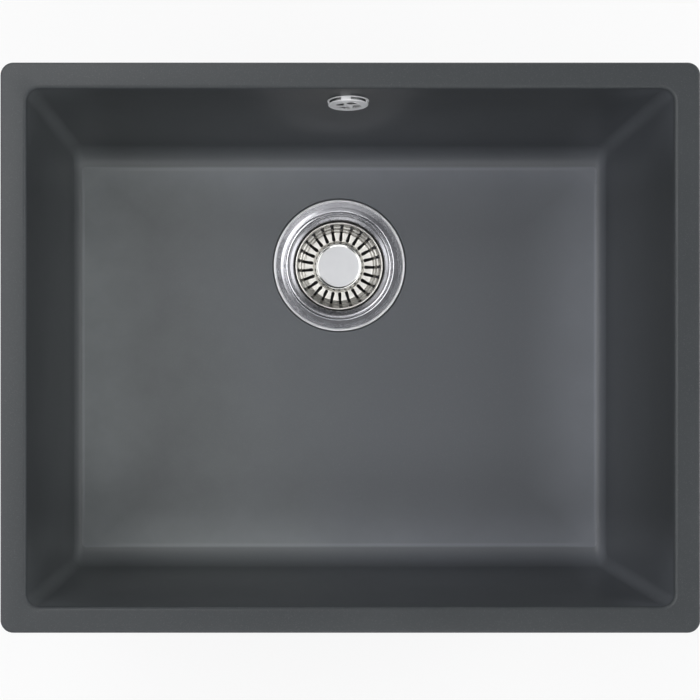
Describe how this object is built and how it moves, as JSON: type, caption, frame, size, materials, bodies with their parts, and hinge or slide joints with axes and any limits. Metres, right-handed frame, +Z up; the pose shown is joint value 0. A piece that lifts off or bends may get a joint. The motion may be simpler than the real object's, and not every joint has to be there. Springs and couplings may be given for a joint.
{
  "type": "inset kitchen sink",
  "caption": "Inset single-bowl kitchen sink in dark stone composite with a flat rim, a lift-out slotted strainer basket, a wall overflow with its pipe, and clamping clips under the rim.",
  "frame": {"origin": "centre of the worktop cut-out, on the worktop's surface, which is the underside of the rim", "axes": "+X to the right along the long side, +Y to the back wall with the overflow, +Z up"},
  "size_m": [0.54, 0.4466, 0.296],
  "materials": {
    "composite": "fine-grained matt stone composite",
    "flange_steel": "brushed stainless steel",
    "basket_steel": "satin stainless steel",
    "polished_steel": "bright steel",
    "plain_steel": "plain stainless steel",
    "brass": "turned brass",
    "black_rubber": "matt rubber",
    "foam": "closed-cell sealing strip",
    "white_plastic": "moulded polypropylene",
    "grey_plastic": "moulded nylon"
  },
  "bodies": {
    "sink": {"sink_bowl": "composite", "rim_seal": "foam", "strainer_cup": "flange_steel", "cup_seal": "black_rubber", "body_gasket": "black_rubber", "strainer_body": "white_plastic", "centre_screw": "plain_steel", "centre_nut": "brass", "overflow_rose": "polished_steel", "overflow_sleeve": "plain_steel", "overflow_gasket": "black_rubber", "overflow_elbow": "white_plastic", "upper_pipe_seal": "black_rubber", "overflow_pipe": "white_plastic", "lower_pipe_seal": "black_rubber", "lower_pipe_nut": "white_plastic", "fixing_clips": "plain_steel"},
    "bush": {"stem_bush": "grey_plastic"},
    "strainer": {"basket": "basket_steel", "basket_button": "polished_steel", "basket_stem": "plain_steel", "seal_spacer": "grey_plastic", "seal_plate": "plain_steel", "basket_seal": "black_rubber", "seal_washer": "plain_steel", "stem_nut": "plain_steel"},
    "clamp_right": {"clip_screw_right": "plain_steel", "clip_pad_right": "grey_plastic"},
    "clamp_back_right": {"clip_screw_back_right": "plain_steel", "clip_pad_back_right": "grey_plastic"},
    "clamp_back_left": {"clip_screw_back_left": "plain_steel", "clip_pad_back_left": "grey_plastic"},
    "clamp_left": {"clip_screw_left": "plain_steel", "clip_pad_left": "grey_plastic"},
    "clamp_front_left": {"clip_screw_front_left": "plain_steel", "clip_pad_front_left": "grey_plastic"},
    "clamp_front_right": {"clip_screw_front_right": "plain_steel", "clip_pad_front_right": "grey_plastic"}
  },
  "joints": [
    {"name": "basket_lift", "type": "slide", "parent": "sink", "child": "bush", "axis": [0, 0, 1], "range_m": [0, 0.26]},
    {"name": "basket_turn", "type": "hinge", "parent": "bush", "child": "strainer", "pos_m": [0, 0.08, -0.192], "axis": [0, 0, 1], "continuous": true},
    {"name": "clamp_right_rise", "type": "slide", "parent": "sink", "child": "clamp_right", "axis": [0, 0, 1], "range_m": [0, 0.014]},
    {"name": "clamp_back_right_rise", "type": "slide", "parent": "sink", "child": "clamp_back_right", "axis": [0, 0, 1], "range_m": [0, 0.014]},
    {"name": "clamp_back_left_rise", "type": "slide", "parent": "sink", "child": "clamp_back_left", "axis": [0, 0, 1], "range_m": [0, 0.014]},
    {"name": "clamp_left_rise", "type": "slide", "parent": "sink", "child": "clamp_left", "axis": [0, 0, 1], "range_m": [0, 0.014]},
    {"name": "clamp_front_left_rise", "type": "slide", "parent": "sink", "child": "clamp_front_left", "axis": [0, 0, 1], "range_m": [0, 0.014]},
    {"name": "clamp_front_right_rise", "type": "slide", "parent": "sink", "child": "clamp_front_right", "axis": [0, 0, 1], "range_m": [0, 0.014]}
  ]
}
